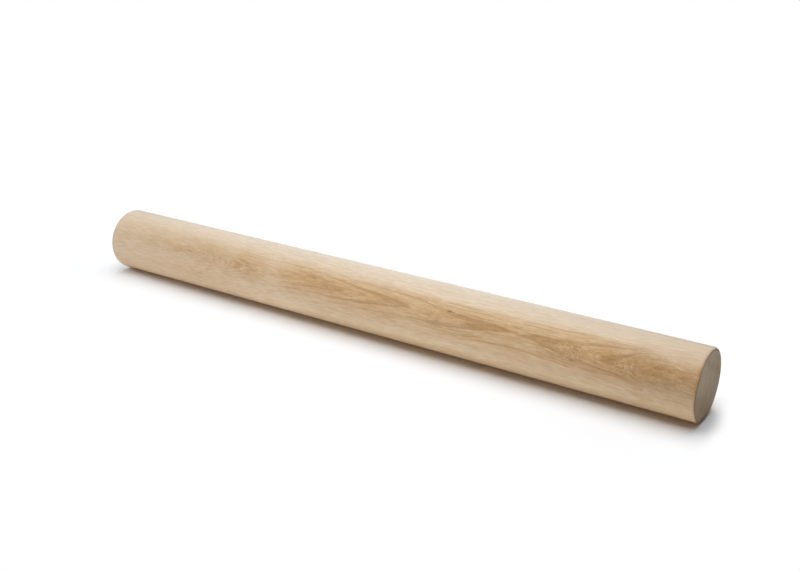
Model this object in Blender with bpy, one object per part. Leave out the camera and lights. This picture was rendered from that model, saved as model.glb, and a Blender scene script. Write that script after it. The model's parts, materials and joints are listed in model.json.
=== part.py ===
"""Pasta rolling pin: one straight hardwood cylinder, turned from a single billet.

The pin lies on its side. Its long axis runs along X, the surface it lies on is Z = 0,
and the origin is on that surface under the middle of the pin. All sizes are in metres.
"""

import math

import bmesh
import bpy
from mathutils import Matrix

# Driving sizes of the pin
PIN_LENGTH = 0.500
PIN_DIAMETER = 0.0485
RIM_ROUNDING = 0.0018

# Fineness of the mesh: 64 flats look round and are wide enough for the pin to rest on one
SIDES = 64
RIM_STEPS = 6

# The rims are square before rounding, and the sides of the barrel meet almost flat
SHARP_RIM_ANGLE = math.radians(45)
SMOOTH_ANGLE = math.radians(30)

# Bare, fine-sanded hardwood
WOOD_COLOUR = (0.60, 0.44, 0.28, 1.0)
WOOD_ROUGHNESS = 0.55


def clear_scene():
    """Remove whatever objects the file opened with."""
    for obj in list(bpy.data.objects):
        bpy.data.objects.remove(obj, do_unlink=True)


def make_wood():
    """Return the material of bare, sanded hardwood."""
    material = bpy.data.materials.new("pale_hardwood")
    material.use_nodes = True
    shader = material.node_tree.nodes["Principled BSDF"]
    shader.inputs["Base Color"].default_value = WOOD_COLOUR
    shader.inputs["Roughness"].default_value = WOOD_ROUGHNESS
    shader.inputs["Metallic"].default_value = 0.0
    return material


def turned_billet(name, length, diameter):
    """Return a many-sided bar along its own Z axis, measuring diameter across its flats."""
    corner_radius = 0.5 * diameter / math.cos(math.pi / SIDES)
    mesh = bpy.data.meshes.new(name)
    shape = bmesh.new()
    bmesh.ops.create_cone(
        shape,
        cap_ends=True,
        segments=SIDES,
        radius1=corner_radius,
        radius2=corner_radius,
        depth=length,
    )
    bmesh.ops.recalc_face_normals(shape, faces=shape.faces)
    shape.to_mesh(mesh)
    shape.free()
    billet = bpy.data.objects.new(name, mesh)
    bpy.context.scene.collection.objects.link(billet)
    return billet


def ease_rims(billet, radius):
    """Round both end rims with a quarter circle of that radius."""
    bevel = billet.modifiers.new("eased_rims", "BEVEL")
    bevel.width = radius
    bevel.segments = RIM_STEPS
    bevel.limit_method = "ANGLE"
    bevel.angle_limit = SHARP_RIM_ANGLE


def lay_on_side(billet, diameter):
    """Lay the bar along X with one of its flats on the surface Z = 0."""
    half_a_side = math.pi / SIDES
    along_x = Matrix.Rotation(math.radians(90), 4, "Y")
    onto_a_flat = Matrix.Rotation(half_a_side, 4, "X")
    raised = Matrix.Translation((0.0, 0.0, 0.5 * diameter))
    billet.matrix_world = raised @ onto_a_flat @ along_x


def shade_round(billet):
    """Shade the barrel smooth and keep the end faces crisp."""
    billet.data.shade_smooth()
    billet.data.set_sharp_from_angle(angle=SMOOTH_ANGLE)


def make_pin():
    """Build the whole pin, which is a single piece of wood."""
    body = turned_billet("pin_body", PIN_LENGTH, PIN_DIAMETER)
    body.data.materials.append(make_wood())
    ease_rims(body, RIM_ROUNDING)
    shade_round(body)
    lay_on_side(body, PIN_DIAMETER)
    return body


def main():
    """Clear the scene and build the pin."""
    clear_scene()
    make_pin()


main()
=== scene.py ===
"""A pasta rolling pin of pale hardwood, lying on a pale studio floor.

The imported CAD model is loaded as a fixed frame. One piece, the turned pin, stands for its only
node and carries a procedural wood, whose rings of growth are worked out in depth, so that the
barrel, the rims and both end faces all show the same billet.

Lengths are in metres in the frame of the CAD model: X along the pin, Z up, the floor at Z = 0.
Inside the wood they are in millimetres.
"""

import json
import logging
import math
from dataclasses import dataclass, field
from enum import Enum
from typing import Callable, Union

import bmesh
import bpy
from mathutils import Matrix, Vector

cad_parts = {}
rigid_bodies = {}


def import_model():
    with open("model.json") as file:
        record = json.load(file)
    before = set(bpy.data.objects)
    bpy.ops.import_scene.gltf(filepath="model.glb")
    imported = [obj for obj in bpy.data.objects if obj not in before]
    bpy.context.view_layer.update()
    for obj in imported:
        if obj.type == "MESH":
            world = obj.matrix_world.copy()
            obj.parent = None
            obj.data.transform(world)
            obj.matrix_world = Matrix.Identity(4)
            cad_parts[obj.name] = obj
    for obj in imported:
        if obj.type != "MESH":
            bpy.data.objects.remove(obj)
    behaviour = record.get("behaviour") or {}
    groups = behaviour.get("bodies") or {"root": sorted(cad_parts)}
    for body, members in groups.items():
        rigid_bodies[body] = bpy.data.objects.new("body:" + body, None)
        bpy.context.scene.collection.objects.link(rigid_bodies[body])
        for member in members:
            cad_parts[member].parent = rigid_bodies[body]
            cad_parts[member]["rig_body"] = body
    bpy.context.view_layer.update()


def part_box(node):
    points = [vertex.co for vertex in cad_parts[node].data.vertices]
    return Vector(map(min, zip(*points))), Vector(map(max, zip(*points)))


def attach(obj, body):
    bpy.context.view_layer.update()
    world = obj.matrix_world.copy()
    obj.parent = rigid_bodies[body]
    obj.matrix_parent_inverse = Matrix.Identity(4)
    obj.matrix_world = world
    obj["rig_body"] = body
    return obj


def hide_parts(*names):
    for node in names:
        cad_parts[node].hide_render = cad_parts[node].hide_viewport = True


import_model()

LOG = logging.getLogger("rolling_pin")

PHOTO_WIDTH = 800
SENSOR_WIDTH = 36.0

MM_PER_M = 1000.0
RGB = tuple[float, float, float]
XYZ = tuple[float, float, float]
Span = tuple[float, float]
Knots = tuple[Span, ...]
Link = bpy.types.NodeSocket


# ---- Shader maths ----


class Ray(Enum):
    """Kinds of ray that show a thing, rather than let it light another."""

    CAMERA = "Is Camera Ray"
    GLOSSY = "Is Glossy Ray"
    TRANSMISSION = "Is Transmission Ray"


class Blend(Enum):
    """Ways of laying one colour over another."""

    COVER = "MIX"
    TINT = "MULTIPLY"


Operand = Union["Value", float]
Colour = Union[Link, RGB]
Layers = tuple[tuple[Operand, RGB], ...]


@dataclass(frozen=True)
class Value:
    """A number on its way through a shader; Python's operators add its Math nodes."""

    bench: "Bench"
    socket: Link

    def _math(self, operation: str, *operands: Operand) -> "Value":
        """Add one Math node on the operands."""
        sockets = dict(enumerate(operands))
        node = self.bench.add("ShaderNodeMath", {"operation": operation}, sockets)
        return Value(self.bench, node.outputs[0])

    def __add__(self, other: Operand) -> "Value":
        """self + other."""
        return self._math("ADD", self, other)

    def __radd__(self, other: Operand) -> "Value":
        """other + self."""
        return self._math("ADD", other, self)

    def __sub__(self, other: Operand) -> "Value":
        """self - other."""
        return self._math("SUBTRACT", self, other)

    def __rsub__(self, other: Operand) -> "Value":
        """other - self."""
        return self._math("SUBTRACT", other, self)

    def __mul__(self, other: Operand) -> "Value":
        """self * other."""
        return self._math("MULTIPLY", self, other)

    def __rmul__(self, other: Operand) -> "Value":
        """other * self."""
        return self._math("MULTIPLY", other, self)

    def __truediv__(self, other: Operand) -> "Value":
        """self / other."""
        return self._math("DIVIDE", self, other)

    def __rtruediv__(self, other: Operand) -> "Value":
        """other / self."""
        return self._math("DIVIDE", other, self)

    def __neg__(self) -> "Value":
        """-self."""
        return self._math("MULTIPLY", self, -1.0)

    def __abs__(self) -> "Value":
        """abs(self)."""
        return self._math("ABSOLUTE", self)

    def root(self) -> "Value":
        """Square root."""
        return self._math("SQRT", self)

    def fraction(self) -> "Value":
        """What is left above the whole number."""
        return self._math("FRACT", self)

    def greatest(self, other: Operand) -> "Value":
        """The greater of the two."""
        return self._math("MAXIMUM", self, other)

    def least(self, other: Operand) -> "Value":
        """The lesser of the two."""
        return self._math("MINIMUM", self, other)

    def fall(self) -> "Value":
        """exp(-value), a soft fall from 1 at 0."""
        return self._math("EXPONENT", -self)

    def step(self, low: float, high: float, smooth: bool = True) -> "Value":
        """Rise from 0 at low to 1 at high, and stay there.

        Args:
            low: Value that gives 0.
            high: Value that gives 1; it may be below low for a fall.
            smooth: Ease in and out, or go straight.

        Returns:
            The risen value, from 0 to 1.
        """
        kind = "SMOOTHSTEP" if smooth else "LINEAR"
        low_at, high_at, to_low, to_high = low, high, 0.0, 1.0
        if low > high:
            low_at, high_at, to_low, to_high = high, low, 1.0, 0.0
        sockets = {0: self, 1: low_at, 2: high_at, 3: to_low, 4: to_high}
        node = self.bench.add("ShaderNodeMapRange", {"interpolation_type": kind}, sockets)
        return Value(self.bench, node.outputs[0])

    def bump_of(self, centre: float, reach: float) -> "Value":
        """A soft hump of height 1 at centre, gone beyond reach on both sides."""
        return abs(self - centre).step(reach, 0.0)


@dataclass(frozen=True)
class Ramp:
    """An amount that sets in while a number goes from start to end, and stays beyond it."""

    start: float
    end: float
    amount: float = 1.0

    def at(self, number: Value) -> Value:
        """As much of the amount as has set in at the number."""
        risen = number.step(self.start, self.end)
        return risen if self.amount == 1.0 else self.amount * risen


@dataclass(frozen=True)
class Pattern:
    """Cloudy noise or round cells, stretched along each axis of the place it is read at.

    The lengths are those of one cell in millimetres, and the offset shifts it by so many cells.
    Detail is the number of finer layers of noise, and roughness how strong they are.
    """

    lengths: XYZ
    offset: XYZ = (0.0, 0.0, 0.0)
    detail: float = 1.0
    roughness: float = 0.5


@dataclass(frozen=True)
class Bench:
    """The node tree of one material or of the world, and the one way to add nodes to it."""

    tree: bpy.types.NodeTree

    @staticmethod
    def material(name: str) -> tuple["Bench", bpy.types.Material]:
        """Start an empty material.

        Args:
            name: Name of the new material.

        Returns:
            The bench of its tree, and the material.
        """
        material = bpy.data.materials.new(name)
        material.use_nodes = True
        material.node_tree.nodes.clear()
        return Bench(material.node_tree), material

    def add(
        self, kind: str, settings: dict | None = None, sockets: dict | None = None
    ) -> bpy.types.Node:
        """Add any node.

        Args:
            kind: Blender's type name of the node.
            settings: Its settings, set first; "knots" are the points of a curve.
            sockets: Values or links for its inputs, by name or place.

        Returns:
            The new node.
        """
        node = self.tree.nodes.new(kind)
        for name, setting in (settings or {}).items():
            if name == "knots":
                self._shape_curve(node, setting)
            else:
                setattr(node, name, setting)
        for name, value in (sockets or {}).items():
            if isinstance(value, Value):
                self.tree.links.new(value.socket, node.inputs[name])
            elif isinstance(value, Link):
                self.tree.links.new(value, node.inputs[name])
            else:
                node.inputs[name].default_value = value
        return node

    @staticmethod
    def _shape_curve(node: bpy.types.Node, knots: Knots) -> None:
        """Put a curve through the knots.

        Args:
            node: A Float Curve node.
            knots: Points from (0, ...) to (1, ...), left to right.
        """
        curve = node.mapping.curves[0]
        while len(curve.points) < len(knots):
            curve.points.new(0.5, 0.5)
        for point, (across, height) in zip(curve.points, knots):
            point.location = (across, height)
            point.handle_type = "AUTO_CLAMPED"
        node.mapping.update()

    def value(self, node: bpy.types.Node, output: Union[int, str] = 0) -> Value:
        """Wrap an output of a node."""
        return Value(self, node.outputs[output])

    def curve(self, along: Value, knots: Knots) -> Value:
        """Follow a curve drawn through knots in their own units.

        Args:
            along: The number to look up.
            knots: (number, height) pairs, rising in number.

        Returns:
            The height of the curve.
        """
        start, end = knots[0][0], knots[-1][0]
        low = min(height for _, height in knots)
        high = max(height for _, height in knots)
        scaled = tuple(
            ((number - start) / (end - start), (height - low) / (high - low))
            for number, height in knots
        )
        place = along.step(start, end, smooth=False)
        node = self.add("ShaderNodeFloatCurve", {"knots": scaled}, {"Value": place})
        return self.value(node) * (high - low) + low

    def _stretched(self, place: Link, pattern: Pattern) -> Link:
        """Divide a place by a pattern's lengths and shift it, so that its cells measure 1."""
        scale = tuple(1.0 / length for length in pattern.lengths)
        sockets = {0: place, 1: scale, 2: pattern.offset}
        return self.add("ShaderNodeVectorMath", {"operation": "MULTIPLY_ADD"}, sockets).outputs[0]

    def noise(self, place: Link, pattern: Pattern) -> Value:
        """Read cloudy noise of about -1 to 1 around 0.

        Args:
            place: Link that carries the place to read it at, in millimetres.
            pattern: Its size, shift and finer layers.

        Returns:
            The noise.
        """
        sockets = {
            "Vector": self._stretched(place, pattern),
            "Scale": 1.0,
            "Detail": pattern.detail,
            "Roughness": pattern.roughness,
        }
        node = self.add("ShaderNodeTexNoise", None, sockets)
        return self.value(node, "Fac") * 2.0 - 1.0

    def cells(self, place: Link, pattern: Pattern) -> Value:
        """Measure how far a place is from the middle of the nearest of many scattered cells.

        Args:
            place: Link that carries the place, in millimetres.
            pattern: Size and shift of the cells.

        Returns:
            The distance, in cells.
        """
        sockets = {"Vector": self._stretched(place, pattern), "Scale": 1.0}
        node = self.add("ShaderNodeTexVoronoi", {"feature": "F1"}, sockets)
        return self.value(node, "Distance")

    def mix(self, factor: Operand, base: Colour, top: Colour, blend: Blend = Blend.COVER) -> Link:
        """Lay one colour over another.

        Args:
            factor: How much of the top one shows.
            base: Colour below, as numbers or a link.
            top: Colour above, as numbers or a link.
            blend: How the top one acts.

        Returns:
            Link that carries the mixed colour.
        """
        below, above = ((*c, 1.0) if isinstance(c, tuple) else c for c in (base, top))
        settings = {"data_type": "RGBA", "blend_type": blend.value}
        return self.add("ShaderNodeMix", settings, {0: factor, 6: below, 7: above}).outputs[2]

    def tint(self, colour: Link, layers: Layers) -> Link:
        """Lay tints over a colour, one after the other.

        Args:
            colour: Link that carries the colour.
            layers: How much of each tint shows, and the tint.

        Returns:
            Link that carries the tinted colour.
        """
        for amount, tint in layers:
            colour = self.mix(amount, colour, tint, Blend.TINT)
        return colour

    def seen(self) -> Value:
        """1 for the kinds of ray that show a thing, and 0 for the rest."""
        path = self.add("ShaderNodeLightPath")
        straight, glossy, through = (self.value(path, kind.value) for kind in Ray)
        return straight.greatest(glossy).greatest(through)


# ---- The wood ----


@dataclass(frozen=True)
class Spot:
    """A small place near the surface where the grain is special.

    It is an ellipsoid, given by its place along the pin in millimetres, its angle round the barrel
    from the middle of the figure in degrees, and its reach along and across the grain.
    """

    along: float
    angle: float
    length: float
    width: float
    strength: float


@dataclass(frozen=True)
class Smudge:
    """A soft patch of another colour; most are the wood's own tone, and some are painted light.

    It has a middle and a reach along the pin in millimetres, and a middle and a reach across the
    grain in radii of the pin.
    """

    along: float
    length: float
    across: float
    width: float
    tint: RGB


@dataclass(frozen=True)
class Grain:
    """The place that the patterns are read from, in millimetres in the billet."""

    bench: Bench
    place: Link
    along: Value
    outward: Value
    across: Value

    def noise(self, pattern: Pattern) -> Value:
        """Noise at this place."""
        return self.bench.noise(self.place, pattern)

    def cells(self, pattern: Pattern) -> Value:
        """Distance from the nearest cell's middle at this place."""
        return self.bench.cells(self.place, pattern)

    def curve(self, knots: Knots) -> Value:
        """Height of a curve at this place along the pin."""
        return self.bench.curve(self.along, knots)


@dataclass(frozen=True)
class Figure:
    """What the wood is like at a place, from 0 to 1, but from -1 to 1 for fibre and ring."""

    heart: Value
    inside: Value
    late: Value
    fibre: Value
    streak: Value
    pore: Value
    ring: Value
    knot: Value


@dataclass(frozen=True)
class PaleHardwood:
    """Bare, fine-sanded pale hardwood, flat-sawn, with the heart side turned towards the viewer.

    The billet has its own frame in millimetres: x along the pin, y away from the pith and z round
    the barrel, with the pin's axis at y = z = 0. The pith lies at y = -pith_distance, outside the
    pin, and each ring is a shell round it whose radius swells and shrinks along the pin. A shell's
    radius counts from the one that touches the surface at the waist of the figure, and grows
    towards the bark. Angles are in degrees.
    """

    radius: float
    half_length: float
    turn: float = 31.0
    painted_floor_shade_angle: float = 5.0
    # Side that the painted shade near the floor line faces, in degrees from the lowest line
    pith_distance: float = 65.0

    light: RGB = (0.595, 0.469, 0.325)
    heart_tint: RGB = (0.8, 0.61, 0.315)
    late_tint: RGB = (0.705, 0.63, 0.49)
    rose_tint: RGB = (1.0, 0.98, 0.965)
    streak_tint: RGB = (0.82, 0.75, 0.655)
    pore_tint: RGB = (0.68, 0.6, 0.49)
    knot_tint: RGB = (0.45, 0.33, 0.22)
    # Painted cool sheen: paler, bluer colour on the far upper side of the barrel
    painted_cool_sheen_tint: RGB = (0.925, 0.98, 1.08)
    # Painted shade: warm darkening of the barrel's low side near the floor line
    painted_floor_shade_tint: RGB = (0.93, 0.73, 0.45)
    # Painted shade: darker colour along the top of the barrel, most towards the ends
    painted_top_shade_tint: RGB = (0.8, 0.76, 0.75)
    front_light_tint: RGB = (1.01, 0.99, 0.97)
    shade_tint: RGB = (0.76, 0.78, 0.82)
    # Partly the wood's warm tone below the figure and partly painted warm light
    skirt_and_painted_warm_light_tint: RGB = (0.99, 0.915, 0.815)
    # Painted light: brighter colour low on the viewer's side of the barrel
    painted_low_side_light_tint: RGB = (1.06, 1.04, 1.0)
    right_end_tint: RGB = (0.91, 0.88, 0.84)
    left_end_tint: RGB = (0.955, 0.955, 0.955)
    end_grain_tint: RGB = (0.66, 0.67, 0.69)
    # Painted shade: the end faces darker towards the floor
    painted_end_face_shade_tint: RGB = (0.66, 0.62, 0.57)
    # Painted shade: the rims dark at their foot, next to the floor
    painted_rim_foot_shade_tint: RGB = (0.45, 0.47, 0.5)
    # Painted highlight on the upper rim of the right end
    lit_rim_tint: RGB = (1.22, 1.17, 1.12)
    arris_tint: RGB = (0.55, 0.48, 0.4)
    fibre_swing: RGB = (0.85, 1.08, 1.45)
    cloud_swing: RGB = (0.5, 0.9, 1.8)

    roughness: float = 0.5
    relief: float = 0.00006

    # Depth of the shells below the surface's own middle line, along the pin
    depth_knots: Knots = (
        (-250, 13), (-166.7, 11.2), (-139, 9.6), (-101.7, 6.1), (-86.7, 5.6), (-5, 3.35), (10, 2.9),
        (21.7, 2.6), (50, 1.85), (78.3, 1.1), (118.3, 0.1), (126.7, 0), (135, 0.1), (166.7, 1.05),
        (185, 2.1), (200, 2.7), (207, 3.6), (215, 5), (230, 6.2), (250, 7.4),
    )
    # Angle round the barrel at which the figure has its middle, in degrees from the turn
    drift_knots: Knots = (
        (-250, -4), (-140, -5), (-103.3, -3.5), (-73.3, -2), (-50, 1), (-5, -2.5), (43.3, -1),
        (78.3, -4.5), (118.3, 0), (135, 0), (166.7, -3.3), (220, -2.5), (250, -3),
    )
    # How dark the growth is, by the radius of its shell
    growth_knots: Knots = (
        (-8.8, 0.5), (-8.68, 0.1), (-8.56, 0.1), (-8.46, 0.6), (-8.16, 0.5), (-8.08, 0.1),
        (-7.98, 0.1), (-7.9, 0.65), (-7.7, 0.6), (-7.62, 0), (-7.5, 0), (-7.42, 0.75),
        (-7.16, 0.65), (-7.08, 0.05), (-6.98, 0.05), (-6.9, 0.8), (-6.42, 0.75), (-6.32, 0),
        (-6.12, 0), (-6.02, 0.9), (-5.7, 0.8), (-5.4, 0.45), (-4.52, 0.55), (-4.42, 0.05),
        (-4.28, 0.05), (-4.16, 0.55), (-3.9, 0.7), (-3.5, 0.6), (-3.36, 0.25), (-3.24, 0.55),
        (-3.1, 0.3), (-2.98, 0.55), (-2.9, 0.05), (-2.74, 0), (-2.64, 0.7), (-2.45, 1),
        (-2.24, 1.2), (-2.1, 1.3), (-2.02, 0.2), (-1.8, 0.4), (-1.66, 0.05), (-1.5, 0.45),
        (-1.36, 0.05), (-1.2, 0.35), (-1.08, 0), (-0.96, 0.25), (-0.84, 0.05), (-0.72, 0.2),
        (-0.62, 0.75), (-0.36, 0.7), (-0.22, 0.9), (-0.13, 1), (-0.08, 0.85), (0, 0.5), (0.06, 0.1),
        (0.18, 0.05), (0.3, 0.3), (0.41, 0.5), (0.5, 0.15), (0.68, 0.05), (0.88, 0.3), (1.1, 0.3),
        (1.25, 0.05), (1.45, 0.35), (1.63, 0.6), (1.78, 0.5), (1.9, 0.05), (2.37, 0), (2.8, 0.2),
        (3.2, 0.6), (3.36, 0.55), (3.48, 0.05), (4, 0),
    )
    inner_year: float = 0.55
    outer_year: float = 1.8

    # How deep the heart's colour is along the pin
    heart_knots: Knots = (
        (-250, 0.05), (-223, 0.12), (-197, 0.3), (-172, 0.32), (-143, 0.4), (-117, 0.43),
        (-100, 0.5), (-88, 0.49), (-63, 0.58), (-50, 0.63), (20, 0.59), (43, 0.55), (83, 0.56),
        (97, 0.66), (110, 0.58), (123, 0.62), (137, 0.52), (163, 0.6), (177, 0.58), (190, 0.72),
        (203, 0.65), (217, 0.77), (230, 0.64), (250, 0.62),
    )
    # Angle of its middle, and the radius of its outermost shell above the surface's middle line
    heart_drift_knots: Knots = (
        (-250, -3), (-197, 0), (-143, 1), (-117, -9.5), (-103, -6.5), (-77, -4.5), (-50, -4.5),
        (-37, -2.7), (-23, -6.5), (-10, -6.5), (3, -3.5), (17, -3.8), (30, -7), (43, -1.5),
        (57, -4.5), (83, -6.7), (97, -6), (123, -3), (150, -3.2), (177, -1.7), (203, -1.5),
        (217, -5.5), (230, -9), (250, -9),
    )
    heart_reach_knots: Knots = (
        (-250, 2.4), (-197, 2), (-143, 2.8), (-130, 2.2), (-103, 3.3), (-77, 2.6), (-63, 3.4),
        (-37, 3.1), (-10, 3.4), (30, 4.3), (43, 3.7), (70, 4.2), (83, 4.6), (97, 3.9), (110, 4.4),
        (123, 4.1), (150, 4.1), (177, 4.9), (190, 4), (203, 4.2), (217, 3.5), (230, 2.9),
        (250, 2.8),
    )
    # How grey the brown is along the pin
    shade_knots: Knots = (
        (-250, 0), (-215, 0.02), (-197, 0.22), (-143, 0.22), (-110, 0.06), (-85, 0), (183, 0),
        (203, 0.08), (217, 0.42), (235, 0.28), (250, 0.2),
    )
    # Middle and reach of the paler bar across the heart
    cross_bar: Span = (-76.5, 22.0)
    # How strong the warm skirt below the figure is along the pin; it is partly the wood's tone and
    # partly painted warm light
    skirt_knots: Knots = (
        (-250, 0), (-225, 0.2), (-190, 0.6), (-150, 1), (-125, 0.75), (-100, 0.3), (-60, 0.4),
        (-25, 0.95), (60, 0.95), (160, 1), (250, 1),
    )
    tone_and_painted_light_smudges: tuple[Smudge, ...] = (
        # Painted light: the upper side a little brighter all along the pin
        Smudge(0, 900, 0.66, 0.34, (1.035, 1.035, 1.045)),
        # Painted light: the low and front side brighter, most towards the right end
        Smudge(270, 620, -0.6, 1.2, (1.1, 1.095, 1.09)),
        Smudge(-20, 480, 0.24, 0.27, (1.05, 1.07, 1.1)),
        Smudge(-170, 170, 0.0, 0.8, (0.985, 0.95, 0.94)),
        Smudge(10, 150, 0.0, 0.6, (1.02, 0.985, 0.955)),
        Smudge(215, 180, 0.06, 0.6, (1.08, 1.06, 1.045)),
        Smudge(-228, 30, -0.6, 0.25, (1.06, 1.06, 1.05)),
        Smudge(-160, 75, -0.82, 0.28, (0.965, 0.935, 0.92)),
        Smudge(-100, 32, -0.62, 0.42, (1.04, 1.045, 1.05)),
        Smudge(-90, 45, -0.92, 0.14, (1.06, 1.07, 1.1)),
        Smudge(-60, 40, -0.78, 0.22, (1.07, 1.1, 1.14)),
        Smudge(60, 130, -0.76, 0.14, (1.045, 1.065, 1.08)),
        Smudge(60, 120, -0.93, 0.13, (0.955, 0.92, 0.86)),
        Smudge(190, 30, -0.46, 0.16, (0.94, 0.89, 0.89)),
        Smudge(185, 35, -0.78, 0.2, (1.05, 1.08, 1.12)),
        Smudge(240, 75, -0.55, 0.34, (0.91, 0.91, 0.93)),
        Smudge(238, 50, 0.49, 0.18, (0.91, 0.85, 0.8)),
        Smudge(235, 45, 0.72, 0.34, (0.985, 0.97, 0.915)),
        Smudge(238, 45, 0.97, 0.08, (0.93, 0.93, 0.92)),
        Smudge(-110, 130, 0.97, 0.08, (0.95, 0.94, 0.94)),
        Smudge(-245, 60, 0.93, 0.24, (0.97, 0.94, 0.9)),
        Smudge(-240, 32, -0.9, 0.16, (0.98, 0.925, 0.875)),
    )

    # Burrs, the mottled right end with the most that shows of it, and small knots
    burrs: tuple[Spot, ...] = (
        Spot(167, -6.5, 8, 5.4, 2),
        Spot(203.5, -9, 6.5, 4, 2),
        Spot(86, -7, 6, 3.2, 0.5),
    )
    mottled: tuple[Spot, ...] = (Spot(242, -4, 24, 15, 2.2),)
    mottled_most: float = 0.85
    knots: tuple[Spot, ...] = (
        Spot(75.7, 8, 1.6, 0.75, 1),
        Spot(67.8, -12, 2.4, 0.6, 0.5),
        Spot(66.7, -17.5, 5, 1.8, 0.3),
        Spot(194.8, -26, 1.1, 0.45, 0.4),
        Spot(216.4, -36, 0.9, 0.45, 0.45),
        Spot(169, -19, 1.6, 0.8, 0.5),
        Spot(-14.4, 15.5, 2.2, 0.7, 0.4),
        Spot(-41, 7.5, 4.5, 2.4, 0.3),
        Spot(-26.7, -2.5, 1.6, 0.8, 0.3),
        Spot(-16.7, -4.5, 3.6, 1.5, 0.3),
        Spot(5.6, 0.5, 3, 1.2, 0.25),
    )

    # Patterns that bend the shells, and patches without growth
    slow_bend: Pattern = Pattern((25, 5, 5), detail=2)
    streaky_bend: Pattern = Pattern((16, 1.4, 1.4), (4, 2, 6))
    fine_bend: Pattern = Pattern((6, 0.55, 0.55), (3, 5, 7))
    wavy_bend: Pattern = Pattern((9, 4, 4), (9, 6, 2))
    patches: Pattern = Pattern((28, 3, 3), (3, 7, 1))
    # Patterns of the burrs and of the mottled end
    burr_loops: Pattern = Pattern((3, 2.5, 2.5), (4, 1, 8))
    burr_bend: Pattern = Pattern((2.4, 2, 2), (9, 2, 4))
    strokes: Pattern = Pattern((1.2, 0.9, 0.9), (2, 7, 5))
    stroke_clouds: Pattern = Pattern((9, 2.8, 2.8), (5, 2, 3))
    # Patterns of the heart's edge and depth
    heart_clouds: Pattern = Pattern((24, 5, 5), (1, 8, 3), 2)
    heart_feather: Pattern = Pattern((15, 1.2, 1.2), (6, 3, 2), 3, 0.6)
    heart_smudges: Pattern = Pattern((13, 3.2, 3.2), (4, 6, 1))
    bar_warp: Pattern = Pattern((30, 5, 5), (2, 9, 5))
    # Patterns that follow the flow of the grain: along it, by the shell's radius, and across
    broad_fibres: Pattern = Pattern((13, 0.45, 2.2), (2, 4, 6))
    fine_fibres: Pattern = Pattern((6, 0.22, 1.1), (8, 3, 1))
    streaks: Pattern = Pattern((7, 0.35, 1.4), (5, 1, 8))
    end_rings: Pattern = Pattern((400, 2.4, 30), (3, 1, 2))
    # Pores and clouds of colour
    pores: Pattern = Pattern((7, 0.75, 0.75))
    broad_clouds: Pattern = Pattern((60, 12, 12), (7, 2, 9), 3)
    soft_clouds: Pattern = Pattern((8, 2.4, 2.4), (1, 5, 4))

    # What is there all along the pin, and what sets in along it, in millimetres
    growth_base: float = 0.66
    growth_rise: Ramp = Ramp(30, 100, 0.54)
    growth_drop: Ramp = Ramp(200, 214, -0.58)
    wavy_left: Ramp = Ramp(-92, -112, 0.35)
    edge_width: float = 1.5
    loose_left: Ramp = Ramp(50, 0, 1.5)
    loose_right: Ramp = Ramp(195, 215, 1.4)
    frayed_left: Ramp = Ramp(60, 0)
    smudged_base: float = 0.2
    smudged_left: Ramp = Ramp(-95, -115, 0.9)
    faint_fibres_left: Ramp = Ramp(-90, -140, -0.25)
    right_shade: Ramp = Ramp(60, 250)
    left_shade: Ramp = Ramp(-170, -250)
    # Painted shade along the top of the barrel, and how much it grows towards the ends
    painted_top_shade_base: float = 0.28
    painted_top_shade_ends: Ramp = Ramp(130, 235, 0.72)

    # What sets in round the barrel, in radii of the pin; a band has a middle and a reach
    back: Ramp = Ramp(-0.3, 0.5)
    hidden: Ramp = Ramp(0.1, 0.65)
    skirt_band: Span = (-0.57, 0.27)
    # Painted light low on the viewer's side
    painted_low_side_light: Ramp = Ramp(-0.66, -0.84)
    front_light: Ramp = Ramp(0.4, -0.9)
    # Painted cool sheen on the far upper side
    painted_cool_sheen: Ramp = Ramp(0.4, 1)
    # Painted shade along the top
    painted_top_shade: Ramp = Ramp(0.86, 0.97)
    # Painted shade near the floor line, in radii towards the lowest line
    painted_floor_shade: Ramp = Ramp(0.755, 0.92)
    cloudy_low: Ramp = Ramp(-0.25, -0.6, 0.06)
    fibrous_sides: Ramp = Ramp(0.3, 0.65, 0.07)
    upper: Ramp = Ramp(0.1, -0.5)
    # Painted shade of the end faces, from top to bottom
    painted_end_face_shade: Ramp = Ramp(-1, 1)
    # Painted shade at the foot of the rims
    painted_rim_shade_foot: Ramp = Ramp(0.72, 0.98)
    arris_base: float = 0.35
    arris_top: Ramp = Ramp(0.7, -0.2, 0.88)

    # What sets in before the end faces, and the band inside their edge, in millimetres
    cut_lower: Ramp = Ramp(0.9, 0.15)
    cut_upper: Ramp = Ramp(0.4, 0.05)
    # Reach of the painted shade at the rims' foot, before the end faces
    painted_rim_shade_reach: Ramp = Ramp(3, 0.8)
    # Reach of the painted highlight on the upper rim, before the right end face
    lit_rim: Ramp = Ramp(1.8, 0.7)
    arris_depth: Ramp = Ramp(0.6, 0.2)
    arris_band: Span = (1.25, 0.5)
    arris_rise: float = 0.4

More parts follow.
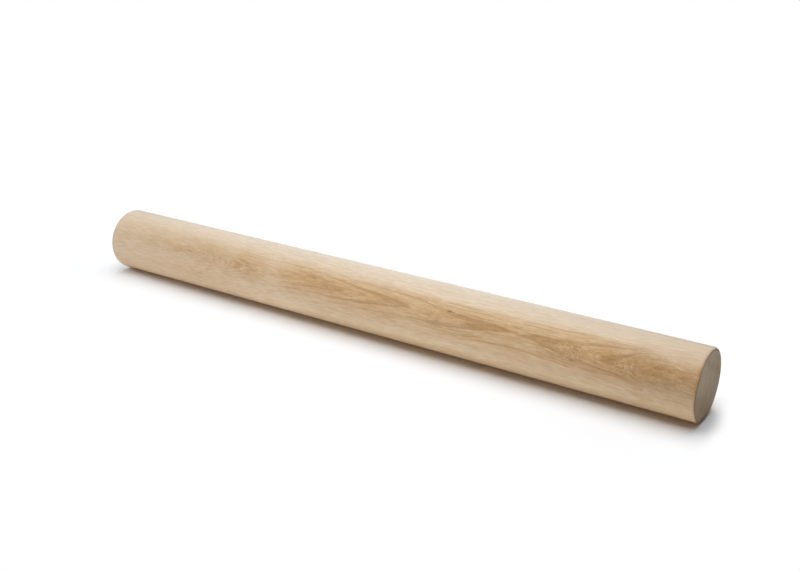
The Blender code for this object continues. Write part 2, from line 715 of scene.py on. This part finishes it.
    def build(self, name: str) -> bpy.types.Material:
        """Make the material.

        Args:
            name: Name of the material.

        Returns:
            The finished material.
        """
        bench, material = Bench.material(name)
        grain = self._billet(bench)
        shell = self._shells(grain)
        late = self._growth(grain, shell)
        rise, drop = self.growth_rise.at(grain.along), self.growth_drop.at(grain.along)
        late = self._curled(grain, late * (self.growth_base + rise + drop))
        fibres = self._fibres(grain, shell)
        knot = self._spots(grain, self.knots)
        figure = Figure(*self._heart(grain), late, *fibres, knot)
        end, arris = self._end_masks(grain)
        colour = self._colour(grain, figure)
        colour = self._swung(colour, 0.16 * figure.ring * end, self.fibre_swing)
        colour = self._cut_ends(grain, colour, end, arris)
        rough = self.roughness + 0.04 * figure.fibre - 0.05 * late * figure.heart + 0.30 * end
        height = 0.45 * figure.fibre - 0.5 * figure.pore - 0.15 * late
        sockets = {"Strength": 1.0, "Distance": self.relief, "Height": height}
        bump = bench.add("ShaderNodeBump", None, sockets)
        sockets = {"Base Color": colour, "Roughness": rough, "Normal": bump.outputs[0]}
        surface = bench.add("ShaderNodeBsdfPrincipled", None, sockets)
        bench.add("ShaderNodeOutputMaterial", None, {"Surface": surface.outputs[0]})
        return material

    def _billet(self, bench: Bench) -> Grain:
        """Turn the pin's coordinates into the billet's.

        Args:
            bench: Tree to add to.

        Returns:
            The place in the billet, whole and by its parts.
        """
        turn = math.radians(self.turn)
        axis = Matrix.Rotation(turn, 3, "X") @ Vector((0.0, 0.0, self.radius))
        sockets = {
            "Vector": bench.add("ShaderNodeTexCoord").outputs["Object"],
            "Location": tuple(-axis),
            "Rotation": (turn, 0.0, 0.0),
            "Scale": (MM_PER_M, MM_PER_M, MM_PER_M),
        }
        place = bench.add("ShaderNodeMapping", {"vector_type": "POINT"}, sockets).outputs[0]
        parts = bench.add("ShaderNodeSeparateXYZ", None, {0: place})
        return Grain(bench, place, *(bench.value(parts, axis_name) for axis_name in "XYZ"))

    def _spots(self, grain: Grain, spots: tuple[Spot, ...], most: float = 1.0) -> Value:
        """Find how near a place is to some spots.

        Args:
            grain: Place in the billet.
            spots: The spots.
            most: Upper limit of it.

        Returns:
            The strength of a spot at its middle, and 0 away from all.
        """
        add, total = grain.bench.add, 0.0
        for spot in spots:
            angle = math.radians(spot.angle)
            middle = (spot.along, -self.radius * math.cos(angle), self.radius * math.sin(angle))
            scale = (1.0 / spot.length, 1.0 / spot.width, 1.0 / spot.width)
            offset = tuple(-part * size for part, size in zip(middle, scale))
            sockets = {0: grain.place, 1: scale, 2: offset}
            away = add("ShaderNodeVectorMath", {"operation": "MULTIPLY_ADD"}, sockets).outputs[0]
            square = add("ShaderNodeVectorMath", {"operation": "DOT_PRODUCT"}, {0: away, 1: away})
            total = total + spot.strength * grain.bench.value(square, "Value").fall()
        return total.least(most)

    def _from_pith(self, grain: Grain, drift: Value) -> Value:
        """Measure the distance from the pith, less that of the surface's own middle line.

        Args:
            grain: Place in the billet.
            drift: How far the pith lies across the grain there, in millimetres.

        Returns:
            The distance in millimetres.
        """
        out = grain.outward + self.pith_distance
        side = grain.across - drift
        return (out * out + side * side).root() - (self.pith_distance - self.radius)

    def _back(self, grain: Grain) -> Value:
        """1 on the side away from the pith and 0 on the side towards it."""
        return self.back.at(grain.outward / self.radius)

    def _shells(self, grain: Grain) -> Value:
        """Find the radius of the shell of growth that a place lies in, in millimetres.

        Args:
            grain: Place in the billet.

        Returns:
            The radius.
        """
        drift = grain.curve(self.drift_knots) * math.radians(self.pith_distance)
        radius = self._from_pith(grain, drift) - grain.curve(self.depth_knots)
        slow = grain.noise(self.slow_bend)
        streaky = grain.noise(self.streaky_bend)
        fine = grain.noise(self.fine_bend)
        wavy = grain.noise(self.wavy_bend) * self.wavy_left.at(grain.along)
        calm = 1.0 - 0.75 * self._back(grain)
        return radius + 0.20 * slow + calm * (0.20 * streaky + 0.12 * fine) + wavy

    def _growth(self, grain: Grain, shell: Value) -> Value:
        """Find how dark the growth in a shell is.

        Below and above the shells that the curve covers, years follow each other evenly, each
        with its early growth pale and its late growth dark.

        Args:
            grain: Place in the billet.
            shell: Radius of the shell.

        Returns:
            The darkness, from 0 in early growth to 1 in late growth.
        """
        first, last = self.growth_knots[0][0], self.growth_knots[-1][0]
        middle = grain.bench.curve(shell, self.growth_knots)
        patch = grain.noise(self.patches).step(-0.35, 0.25)
        middle = middle * (1.0 - shell.step(0.2, 1.4) * (1.0 - patch))
        inner = ((first - shell) / self.inner_year).fraction()
        inner = inner.step(0.10, 0.45) * inner.step(1.0, 0.75)
        inner = inner * shell.step(first + 0.1, first - 0.1)
        outer = ((shell - last) / self.outer_year).fraction()
        outer = outer.step(0.30, 0.90) * outer.step(1.0, 0.94) * shell.step(last, last + 0.4)
        return middle * shell.step(first - 0.1, first + 0.1) + 0.45 * inner + 0.6 * patch * outer

    def _curled(self, grain: Grain, late: Value) -> Value:
        """Lay burrs over the growth, and short strokes over the mottled end.

        A burr has thin pale loops on brown, with dark middles.

        Args:
            grain: Place in the billet.
            late: How dark the growth is without them.

        Returns:
            The darkness with them.
        """
        away = grain.cells(self.burr_loops)
        away = away + 0.30 * grain.noise(self.burr_bend)
        curled = 0.72 - 0.85 * away.bump_of(0.40, 0.15) + 0.50 * away.step(0.22, 0.0)
        strokes = grain.noise(self.strokes)
        clouds = grain.noise(self.stroke_clouds)
        rough = 0.46 + 0.65 * strokes + 0.90 * clouds
        late = late + (rough - late) * self._spots(grain, self.mottled, self.mottled_most)
        return late + (curled - late) * self._spots(grain, self.burrs)

    def _heart(self, grain: Grain) -> tuple[Value, Value]:
        """Find how deep the heart's brown is, from 0 in the pale outer wood to 1.

        Args:
            grain: Place in the billet.

        Returns:
            The depth of colour, and whether the place is inside the heart.
        """
        along = grain.along
        cloud = grain.noise(self.heart_clouds)
        feather = grain.noise(self.heart_feather)
        drift = grain.curve(self.heart_drift_knots) * math.radians(self.radius)
        above = self._from_pith(grain, drift) - grain.curve(self.heart_reach_knots)
        loose = self.edge_width + self.loose_left.at(along) + self.loose_right.at(along)
        frayed = 0.5 * grain.across.step(-4.0, 7.0) * self.frayed_left.at(along)
        loose = loose * (1.0 + frayed)
        inside = ((above + 0.9 * cloud + 1.6 * feather) / loose).step(0.9, -0.9)
        warp = grain.noise(self.bar_warp)
        bar = (along + 9.0 * warp + 3.0 * feather).bump_of(*self.cross_bar)
        depth = grain.curve(self.heart_knots) * (1.0 - 0.50 * bar)
        smudge = grain.noise(self.heart_smudges)
        smudge = smudge * (self.smudged_base + self.smudged_left.at(along))
        return inside * depth * (1.0 + 0.3 * cloud + 0.3 * feather + smudge), inside

    def _fibres(self, grain: Grain, shell: Value) -> tuple[Value, ...]:
        """Make the fine lines along the grain, which follow the shells.

        Args:
            grain: Place in the billet.
            shell: Radius of the shell.

        Returns:
            Fibres from about -1 to 1, short brown streaks and open pores, both from 0 to 1, and
            the rings that show on the end grain, from about -1 to 1.
        """
        sockets = {0: grain.along, 1: shell, 2: grain.across}
        bench = grain.bench
        flow = bench.add("ShaderNodeCombineXYZ", None, sockets).outputs[0]
        fine = bench.noise(flow, self.fine_fibres)
        fibre = bench.noise(flow, self.broad_fibres) + fine * (1.0 - 0.7 * self._back(grain))
        streak = bench.noise(flow, self.streaks).step(0.15, 0.45)
        pore = grain.cells(self.pores).step(0.24, 0.10)
        return fibre, streak, pore, bench.noise(flow, self.end_rings)

    def _layers(self, grain: Grain, figure: Figure) -> Layers:
        """List the tints that lie over the pale wood, painted light and shade among them.

        Args:
            grain: Place in the billet.
            figure: What the wood is like there.

        Returns:
            How much of each tint there is, and the tint.
        """
        along, across, heart = grain.along, grain.across / self.radius, figure.heart
        seen = 1.0 - self.hidden.at(grain.outward / self.radius)
        # Painted shade along the top, on the viewer's half of the barrel
        top = self.painted_top_shade.at(across) * seen * (self.painted_top_shade_base + self.painted_top_shade_ends.at(abs(along)))
        skirt = across.bump_of(*self.skirt_band) * grain.curve(self.skirt_knots)
        # Patches of the wood's own tone, and two patches of painted light
        tone_and_painted_light_smudges = (
            (along.bump_of(s.along, s.length) * across.bump_of(s.across, s.width), s.tint)
            for s in self.tone_and_painted_light_smudges
        )
        return (
            (heart, self.heart_tint),
            (figure.late * (0.12 + 1.55 * heart), self.late_tint),
            (figure.streak * (0.26 + 0.38 * heart), self.streak_tint),
            (figure.pore * (0.25 + 0.5 * heart), self.pore_tint),
            (figure.knot, self.knot_tint),
            (figure.inside * grain.curve(self.shade_knots), self.shade_tint),
            # Warm skirt: partly the wood's tone, partly painted warm light
            (skirt, self.skirt_and_painted_warm_light_tint),
            # Painted light low on the viewer's side
            (self.painted_low_side_light.at(across), self.painted_low_side_light_tint),
            (self.front_light.at(across), self.front_light_tint),
            # Painted cool sheen on the far upper side, on the viewer's half
            (self.painted_cool_sheen.at(across) * seen, self.painted_cool_sheen_tint),
            (top, self.painted_top_shade_tint),
            # Painted shade near the floor line
            (self.painted_floor_shade.at(self._depth(grain, self.painted_floor_shade_angle)), self.painted_floor_shade_tint),
            (self.right_shade.at(along), self.right_end_tint),
            (self.left_shade.at(along), self.left_end_tint),
            *tone_and_painted_light_smudges,
        )

    def _colour(self, grain: Grain, figure: Figure) -> Link:
        """Colour the long grain.

        Args:
            grain: Place in the billet.
            figure: What the wood is like there.

        Returns:
            Link that carries the colour.
        """
        across = grain.across / self.radius
        rose = tuple(a * b for a, b in zip(self.light, self.rose_tint))
        cloud = grain.noise(self.broad_clouds)
        colour = grain.bench.mix(cloud.step(-0.5, 0.7), self.light, rose)
        colour = grain.bench.tint(colour, self._layers(grain, figure))
        clouds = grain.noise(self.soft_clouds) * (0.10 + self.cloudy_low.at(across))
        colour = self._swung(colour, clouds, self.cloud_swing)
        fibres = 0.17 + 0.11 * figure.heart + self.fibrous_sides.at(abs(across))
        fibres = figure.fibre * fibres * (1.0 + self.faint_fibres_left.at(grain.along))
        return self._swung(colour, fibres, self.fibre_swing)

    @staticmethod
    def _swung(colour: Link, amount: Value, swing: RGB) -> Link:
        """Let a colour swing about itself; its blue swings the most, as it does in wood.

        Args:
            colour: Link that carries the colour.
            amount: How far to swing, from -0.5 to 0.5 about 0.
            swing: Change of each channel for one unit of the amount.

        Returns:
            Link that carries the swung colour.
        """
        mix = amount.bench.mix
        dark, bright = (tuple(1.0 + way * part for part in swing) for way in (-0.5, 0.5))
        return mix(1.0, colour, mix(amount + 0.5, dark, bright), Blend.TINT)

    def _depth(self, grain: Grain, angle: float = 0.0) -> Value:
        """Measure how far a place lies towards the low side of the pin.

        Args:
            grain: Place in the billet.
            angle: Side to measure towards, in degrees round the barrel from its lowest line,
                and more towards the viewer.

        Returns:
            The distance from the pin's axis in radii, negative on the other side.
        """
        towards = math.radians(angle - 90.0 - self.turn)
        depth = grain.across * math.sin(towards) - grain.outward * math.cos(towards)
        return depth / self.radius

    def _end_masks(self, grain: Grain) -> tuple[Value, Value]:
        """Mark the cut ends.

        The end grain begins later on the upper half of the rounded rim than on the lower.

        Args:
            grain: Place in the billet.

        Returns:
            1 on end grain, and 1 on the fine line where the end face meets its rounded rim.
        """
        before_end = self.half_length - abs(grain.along)
        upper = self.upper.at(self._depth(grain))
        end = self.cut_lower.at(before_end)
        end = end + (self.cut_upper.at(before_end) - end) * upper
        off_axis = (grain.outward * grain.outward + grain.across * grain.across).root()
        inside_edge = self.radius - off_axis - self.arris_rise * upper
        arris = inside_edge.bump_of(*self.arris_band) * self.arris_depth.at(before_end)
        return end, arris * (self.arris_base + self.arris_top.at(self._depth(grain)))

    def _cut_ends(self, grain: Grain, colour: Link, end: Value, arris: Value) -> Link:
        """Darken the end grain and its edge; paint shade low on the ends and light atop the right
        rim.

        Args:
            grain: Place in the billet.
            colour: Link that carries the colour of the long grain.
            end: 1 on end grain.
            arris: 1 on the edge of the end face.

        Returns:
            Link that carries the finished colour.
        """
        depth = self._depth(grain)
        # Painted shade at the foot of both rims, next to the floor
        rim = self.painted_rim_shade_reach.at(self.half_length - abs(grain.along)) * self.painted_rim_shade_foot.at(depth)
        # Painted highlight on the upper rim of the right end
        lit = self.lit_rim.at(self.half_length - grain.along) * self.upper.at(depth)
        layers = (
            (end, self.end_grain_tint),
            # Painted shade: the end faces darker towards the floor
            (end * self.painted_end_face_shade.at(depth), self.painted_end_face_shade_tint),
            (rim, self.painted_rim_foot_shade_tint),
            (lit * (1.0 - end), self.lit_rim_tint),
            (arris * 0.8, self.arris_tint),
        )
        return grain.bench.tint(colour, layers)


# ---- The pin ----


@dataclass
class TurnedPin:
    """The whole pin: a straight bar turned from one billet, with eased rims and flat ends."""

    name: str = "turned_pin"
    node: str = "pin_body"
    body: str = "root"
    slot: str = "pale_hardwood"
    sides: int = 256
    rim_rounding: float = 0.0018
    rim_steps: int = 10
    barrel_steps: int = 40
    end_insets: tuple[float, ...] = (0.0004, 0.004, 0.008, 0.006)
    smooth_angle: float = math.radians(30.0)
    round_profile: float = 0.5
    # How far edges may be from where they are looked for
    slack: float = 2e-6
    length: float = field(init=False)
    radius: float = field(init=False)

    def __post_init__(self) -> None:
        """Take the pin's length and radius from its CAD node."""
        low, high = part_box(self.node)
        self.length = high.x - low.x
        self.radius = 0.5 * (high.z - low.z)

    def build(self) -> bpy.types.Object:
        """Turn the pin, dress it, hide the CAD node it stands for and attach the pin to its body.

        Returns:
            The finished pin.
        """
        pin = self._rough_bar()
        self._ease_rims(pin)
        self._face_ends(pin)
        self._part_barrel(pin)
        self._settle()
        wood = PaleHardwood(self.radius * MM_PER_M, 0.5 * self.length * MM_PER_M)
        pin.data.materials.append(wood.build(self.slot))
        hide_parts(self.node)
        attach(pin, self.body)
        return pin

    def _rough_bar(self) -> bpy.types.Object:
        """Lay down a bar with square ends.

        Returns:
            The bar, which is the active object.
        """
        bpy.ops.object.select_all(action="DESELECT")
        bpy.ops.mesh.primitive_cylinder_add(
            vertices=self.sides,
            radius=self.radius,
            depth=self.length,
            location=(0.0, 0.0, self.radius),
            rotation=(0.0, math.radians(90.0), 0.0),
        )
        pin = bpy.context.object
        pin.name = pin.data.name = self.name
        bpy.ops.object.transform_apply(location=True, rotation=True, scale=True)
        return pin

    @staticmethod
    def _select(pin: bpy.types.Object, kind: str, test: Callable) -> None:
        """Select parts of the bar by a test of each.

        Args:
            pin: The bar, in edit mode.
            kind: Kind of part, "EDGE" or "FACE".
            test: Test of one part.
        """
        bpy.ops.mesh.select_mode(type=kind)
        bpy.ops.mesh.select_all(action="DESELECT")
        shape = bmesh.from_edit_mesh(pin.data)
        for part in filter(test, shape.edges if kind == "EDGE" else shape.faces):
            part.select_set(True)
        shape.select_flush_mode()
        bmesh.update_edit_mesh(pin.data)

    def _ease_rims(self, pin: bpy.types.Object) -> None:
        """Round both end rims.

        Args:
            pin: The bar with square ends.
        """
        at_end = self.length - self.slack
        bpy.ops.object.mode_set(mode="EDIT")
        self._select(pin, "EDGE", lambda edge: abs(sum(v.co.x for v in edge.verts)) > at_end)
        bpy.ops.mesh.bevel(
            offset=self.rim_rounding,
            segments=self.rim_steps,
            profile=self.round_profile,
            affect="EDGES",
        )
        bpy.ops.object.mode_set(mode="OBJECT")

    def _face_ends(self, pin: bpy.types.Object) -> None:
        """Face off both ends in rings, closed at the middle.

        Args:
            pin: The bar with rounded rims.
        """
        bpy.ops.object.mode_set(mode="EDIT")
        self._select(pin, "FACE", lambda face: len(face.verts) == self.sides)
        for width in self.end_insets:
            bpy.ops.mesh.inset(thickness=width, depth=0.0)
        bpy.ops.mesh.poke()
        bpy.ops.object.mode_set(mode="OBJECT")

    def _part_barrel(self, pin: bpy.types.Object) -> None:
        """Part the long sides of the barrel into short ones.

        Args:
            pin: The bar with finished ends.
        """
        long_side = 0.5 * self.length
        bpy.ops.object.mode_set(mode="EDIT")
        self._select(pin, "EDGE", lambda edge: edge.calc_length() > long_side)
        bpy.ops.mesh.subdivide(number_cuts=self.barrel_steps)
        bpy.ops.mesh.select_all(action="SELECT")
        bpy.ops.mesh.normals_make_consistent(inside=False)
        bpy.ops.object.mode_set(mode="OBJECT")

    def _settle(self) -> None:
        """Shade the barrel round, keep the end faces flat, and let go of the bar."""
        bpy.ops.object.shade_smooth_by_angle(angle=self.smooth_angle)
        bpy.ops.object.select_all(action="DESELECT")


# ---- The studio ----


@dataclass(frozen=True)
class Softbox:
    """A large soft lamp, aimed at the pin."""

    name: str
    place: XYZ
    size: tuple[float, float]
    watts: float
    tone: RGB

    def hang(self) -> None:
        """Add the lamp to the scene."""
        lamp = bpy.data.lights.new(self.name, "AREA")
        lamp.shape = "RECTANGLE"
        lamp.size, lamp.size_y = self.size
        lamp.energy = self.watts
        lamp.color = self.tone
        holder = bpy.data.objects.new(self.name, lamp)
        holder.location = self.place
        holder.rotation_euler = (-Vector(self.place)).to_track_quat("-Z", "Y").to_euler()
        holder.visible_camera = False
        bpy.context.scene.collection.objects.link(holder)


@dataclass(frozen=True)
class PaleFloor:
    """A plain pale floor that goes over into white a little away from the pin's shadow.

    The floor is plain up to plain_reach from the pin's middle line and white from white_reach on.
    Past the ends distances count left_haste and right_haste times. The right end lies right_pull
    nearer on the far side, and left of left_start left_pull draws the white in, but not where the
    pin touches the floor.
    """

    half_width: float = 8.0
    colour: RGB = (0.92, 0.93, 0.945)
    left_reach: float = 0.234
    right_reach: float = 0.2531
    left_haste: float = 0.667
    right_haste: float = 6.85
    right_pull: float = 0.0069
    pull_sides: Span = (-0.0072, 0.0298)
    left_start: float = 0.05
    left_pull: float = 0.2
    contact_reach: Span = (0.0082, 0.0155)
    plain_reach: float = 0.0079
    white_reach: float = 0.0924

    def lay(self) -> None:
        """Add the floor to the scene."""
        bpy.ops.object.select_all(action="DESELECT")
        bpy.ops.mesh.primitive_plane_add(size=2.0 * self.half_width)
        floor = bpy.context.object
        floor.name = floor.data.name = "studio_floor"
        bench, material = Bench.material("pale_floor")
        place = bench.add("ShaderNodeTexCoord").outputs["Object"]
        parts = bench.add("ShaderNodeSeparateXYZ", None, {0: place})
        along, beside = bench.value(parts, "X"), bench.value(parts, "Y")
        near_end = self.right_pull * beside.step(*self.pull_sides)
        past_right = (along - self.right_reach + near_end) * self.right_haste
        past_end = past_right.greatest((-self.left_reach - along) * self.left_haste).greatest(0.0)
        to_left = (self.left_start - along).greatest(0.0)
        away = (past_end * past_end + beside * beside).root()
        away = away + self.left_pull * to_left * to_left * away.step(*self.contact_reach)
        paint = bench.add("ShaderNodeBsdfDiffuse", None, {"Color": (*self.colour, 1.0)})
        sockets = {"Color": (1.0, 1.0, 1.0, 1.0), "Strength": 1.0}
        white = bench.add("ShaderNodeEmission", None, sockets)
        share = away.step(self.plain_reach, self.white_reach) * bench.seen()
        sockets = {0: share, 1: paint.outputs[0], 2: white.outputs[0]}
        surface = bench.add("ShaderNodeMixShader", None, sockets)
        bench.add("ShaderNodeOutputMaterial", None, {"Surface": surface.outputs[0]})
        floor.data.materials.append(material)


@dataclass(frozen=True)
class Camera:
    """The camera, where the photographer's stood."""

    place: XYZ = (0.4258, -0.6041, 0.3266)
    tilt: float = 68.5
    heading: float = 33.72
    focal_pixels: float = 1091.0

    def set_up(self) -> None:
        """Add the camera and make it the scene's."""
        lens = bpy.data.cameras.new("photo_camera")
        lens.sensor_fit = "HORIZONTAL"
        lens.sensor_width = SENSOR_WIDTH
        lens.lens = self.focal_pixels / PHOTO_WIDTH * SENSOR_WIDTH
        camera = bpy.data.objects.new("photo_camera", lens)
        camera.location = self.place
        camera.rotation_euler = (math.radians(self.tilt), 0.0, math.radians(self.heading))
        bpy.context.scene.collection.objects.link(camera)
        bpy.context.scene.camera = camera


@dataclass(frozen=True)
class Studio:
    """Floor, soft lamps, white surroundings and camera."""

    floor: PaleFloor = PaleFloor()
    camera: Camera = Camera()
    lamps: tuple[Softbox, ...] = (
        Softbox("overhead", (-0.05, 0.0, 1.2), (1.4, 1.0), 19.0, (0.99, 1.0, 1.01)),
        Softbox("back_wall", (-0.2, 1.7, 0.5), (1.8, 0.9), 3.9, (0.98, 1.0, 1.02)),
        Softbox("back_left", (-0.9, 0.9, 0.6), (0.9, 0.8), 1.8, (0.95, 1.0, 1.05)),
        Softbox("back_right", (0.9, 0.9, 0.6), (0.9, 0.8), 3.15, (0.98, 1.0, 1.02)),
        Softbox("front", (-0.7, -1.3, 0.14), (1.2, 0.22), 6.7, (1.02, 0.99, 0.98)),
    )

    def set_up(self) -> None:
        """Build the whole studio."""
        self.floor.lay()
        for lamp in self.lamps:
            lamp.hang()
        self.camera.set_up()
        self._surround()
        bpy.context.scene.view_settings.view_transform = "Standard"

    @staticmethod
    def _surround() -> None:
        """Make the surroundings white to look at, and let only the lamps light the pin."""
        world = bpy.data.worlds.new("white_surroundings")
        world.use_nodes = True
        world.node_tree.nodes.clear()
        bench = Bench(world.node_tree)
        sockets = {"Color": (1.0, 1.0, 1.0, 1.0), "Strength": bench.seen()}
        sky = bench.add("ShaderNodeBackground", None, sockets)
        bench.add("ShaderNodeOutputWorld", None, {"Surface": sky.outputs[0]})
        bpy.context.scene.world = world


def main() -> None:
    """Set up the studio and build the pin in it."""
    logging.basicConfig(level=logging.INFO, format="%(name)s: %(message)s")
    Studio().set_up()
    pin = TurnedPin().build()
    LOG.info("%s: %d faces, rides on %s", pin.name, len(pin.data.polygons), pin["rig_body"])


if __name__ == "__main__":
    main()
